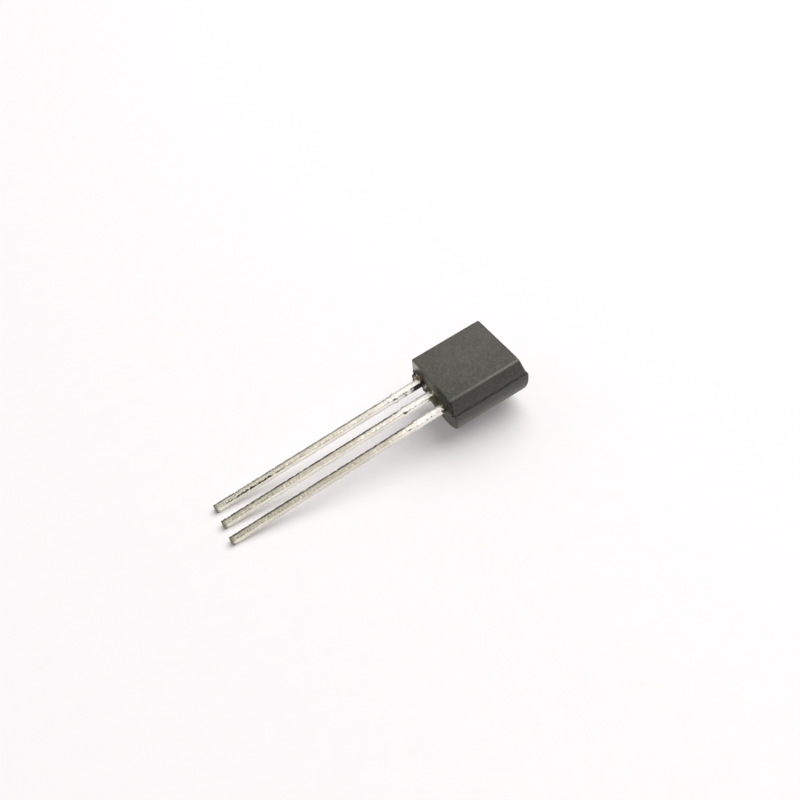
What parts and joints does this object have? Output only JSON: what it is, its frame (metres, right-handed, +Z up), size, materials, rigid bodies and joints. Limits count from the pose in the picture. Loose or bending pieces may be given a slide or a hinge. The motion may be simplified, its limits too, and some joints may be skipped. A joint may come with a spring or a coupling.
{
  "type": "to-92 transistor",
  "caption": "Small-signal transistor: a D-shaped moulded case with one flat face and flat in-line solder leads, lying on its round back.",
  "frame": {"origin": "on the ground under the middle of the part's box, as it lies", "axes": "+X along the ground from the lead tips towards the closed end of the case, +Y across the leads towards the emitter lead, +Z up"},
  "size_m": [0.0186, 0.0046, 0.0042],
  "materials": {
    "moulding_compound": "fine matte spark-eroded mould finish",
    "tinned_strip": "dull tin plate, brighter near the case",
    "silicon": "polished, metal pads",
    "gold": "bright drawn wire"
  },
  "bodies": {
    "root": {"moulded_case": "moulding_compound", "emitter_lead": "tinned_strip", "collector_lead": "tinned_strip", "base_lead": "tinned_strip", "die": "silicon", "emitter_wire": "gold", "base_wire": "gold"}
  },
  "joints": []
}
